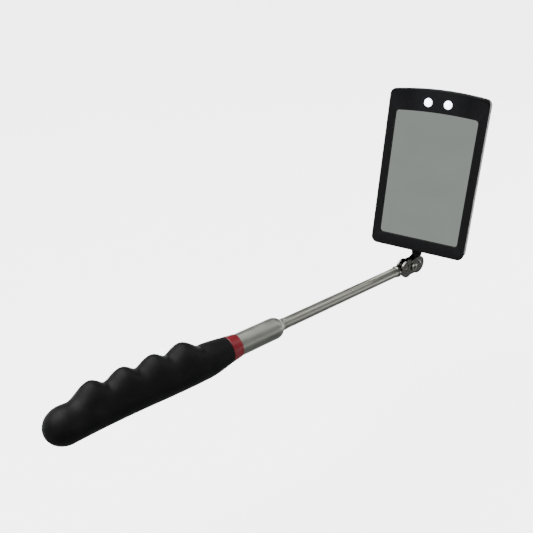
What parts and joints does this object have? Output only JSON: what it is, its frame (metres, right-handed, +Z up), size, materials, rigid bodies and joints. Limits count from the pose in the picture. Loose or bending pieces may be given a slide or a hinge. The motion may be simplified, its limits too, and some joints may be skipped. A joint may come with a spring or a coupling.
{
  "type": "telescoping inspection mirror",
  "caption": "Hand tool with a ridged soft grip, red ring and metal sleeve, a collapsed telescopic shaft and a ball swivel that carries a lit rectangular mirror",
  "frame": {"origin": "centre of the small flat on the butt end of the grip, on the tool's axis", "axes": "+X along the telescopic shaft towards the head, +Z up, +Y to the left when looking along +X"},
  "size_m": [0.2755, 0.0622, 0.1205],
  "materials": {
    "grip_rubber": "satin moulded soft plastic",
    "red_ring": "satin",
    "sleeve_metal": "satin plated",
    "tube_metal": "satin plated",
    "swivel_chrome": "polished",
    "screw_steel": "plated",
    "spring_brass": "plain",
    "bush_nylon": "plain",
    "frame_black": "satin moulded",
    "mirror": "silvered glass",
    "foam": "foam",
    "lamp": "clear lens, lit",
    "board": "printed board",
    "switch_black": "plain",
    "cell_steel": "plated",
    "contact_steel": "nickel"
  },
  "bodies": {
    "handle": {"grip": "grip_rubber", "collar_ring": "red_ring", "handle_tube": "sleeve_metal", "rear_bush": "bush_nylon", "tube_1": "tube_metal"},
    "section_2": {"tube_2": "tube_metal", "shim_2": "spring_brass"},
    "section_3": {"tube_3": "tube_metal", "shim_3": "spring_brass"},
    "section_4": {"tube_4": "tube_metal", "shim_4": "spring_brass"},
    "section_5": {"tip_rod": "tube_metal", "shim_5": "spring_brass"},
    "tip": {"tip_ferrule": "swivel_chrome", "shaft_ball": "swivel_chrome"},
    "link": {"clamp_plate_front": "swivel_chrome", "clamp_plate_rear": "swivel_chrome", "clamp_screw": "screw_steel", "lock_washer": "screw_steel", "clamp_nut": "screw_steel"},
    "stud": {"head_stud": "swivel_chrome", "retaining_ring": "screw_steel"},
    "head": {"swivel_socket": "frame_black", "front_frame": "frame_black", "rear_shell": "frame_black", "mirror_glass": "mirror", "mirror_pad": "foam", "led_left": "lamp", "led_right": "lamp", "led_board": "board", "switch_body": "switch_black", "cell_left": "cell_steel", "cell_right": "cell_steel", "front_contact": "contact_steel", "case_screws": "screw_steel"},
    "knob": {"switch_knob": "switch_black"},
    "door": {"battery_door": "frame_black", "door_contact": "contact_steel"}
  },
  "joints": [
    {"name": "extend_2", "type": "slide", "parent": "handle", "child": "section_2", "axis": [1, 0, 0], "range_m": [0, 0.14]},
    {"name": "extend_3", "type": "slide", "parent": "section_2", "child": "section_3", "axis": [1, 0, 0], "range_m": [0, 0.138]},
    {"name": "extend_4", "type": "slide", "parent": "section_3", "child": "section_4", "axis": [1, 0, 0], "range_m": [0, 0.136]},
    {"name": "extend_5", "type": "slide", "parent": "section_4", "child": "section_5", "axis": [1, 0, 0], "range_m": [0, 0.134]},
    {"name": "shaft_turn", "type": "hinge", "parent": "section_5", "child": "tip", "pos_m": [0.2273, 0, 0], "axis": [1, 0, 0], "continuous": true},
    {"name": "link_swing", "type": "hinge", "parent": "tip", "child": "link", "pos_m": [0.2353, 0, 0], "axis": [0, -0.9996, -0.0285], "range_deg": [-70, 70]},
    {"name": "head_tilt", "type": "hinge", "parent": "link", "child": "stud", "pos_m": [0.2459, 0, 0], "axis": [0, 0.9996, 0.0285], "range_deg": [-10, 160]},
    {"name": "head_turn", "type": "hinge", "parent": "stud", "child": "head", "pos_m": [0.2459, 0, 0], "axis": [0.1384, -0.0282, 0.99], "continuous": true},
    {"name": "light_switch", "type": "slide", "parent": "head", "child": "knob", "axis": [0.3614, -0.9292, -0.077], "range_m": [0, 0.004]},
    {"name": "door_off", "type": "slide", "parent": "head", "child": "door", "axis": [0.9221, 0.3684, -0.1185], "range_m": [0, 0.012]}
  ]
}
